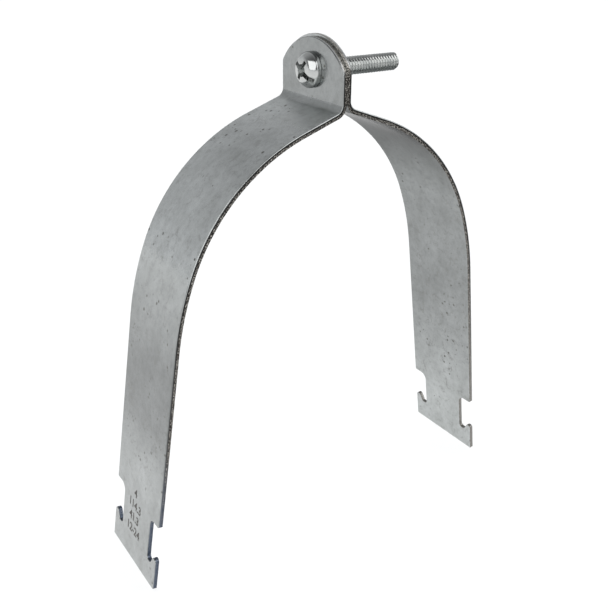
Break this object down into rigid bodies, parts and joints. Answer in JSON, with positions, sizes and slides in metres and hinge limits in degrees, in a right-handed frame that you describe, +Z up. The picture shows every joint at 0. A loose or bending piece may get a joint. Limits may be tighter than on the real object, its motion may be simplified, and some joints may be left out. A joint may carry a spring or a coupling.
{
  "type": "strut pipe clamp",
  "caption": "Open sheet-steel strut pipe clamp: bent straps with hooked leg ends that catch in a strut channel, joined at their ears by a machine screw and a square nut.",
  "frame": {"origin": "on the floor, at the middle of the bounding box's base: midway between the outer corners of the two feet and in the middle of the straps' width", "axes": "+Z up, +X along the screw from its head to its tip, +Y across the straps' width"},
  "size_m": [0.1404, 0.0318, 0.1626],
  "materials": {
    "strap_zinc": "satin zinc-plated sheet steel, finely pitted, with darker sheared edges",
    "screw_zinc": "bright zinc-plated steel",
    "nut_zinc": "bright zinc-plated steel"
  },
  "bodies": {
    "front_half": {"front_strap": "strap_zinc"},
    "screw": {"clamp_screw": "screw_zinc"},
    "nut": {"square_nut": "nut_zinc"},
    "rear_half": {"rear_strap": "strap_zinc"}
  },
  "joints": [
    {"name": "screw_turn", "type": "hinge", "parent": "front_half", "child": "screw", "pos_m": [0.0009, 0, 0.15252], "axis": [-1, 0, 0], "range_deg": [0, 7920]},
    {"name": "nut_run", "type": "slide", "parent": "front_half", "child": "nut", "axis": [1, 0, 0], "range_m": [0, 0.02328]},
    {"name": "strap_swing", "type": "hinge", "parent": "nut", "child": "rear_half", "pos_m": [0.0009, 0, 0.15252], "axis": [1, 0, 0], "continuous": true}
  ],
  "couplings": [
    {"joint": "screw_turn", "follows": "nut_run", "rad_per_m": 5936.9}
  ]
}
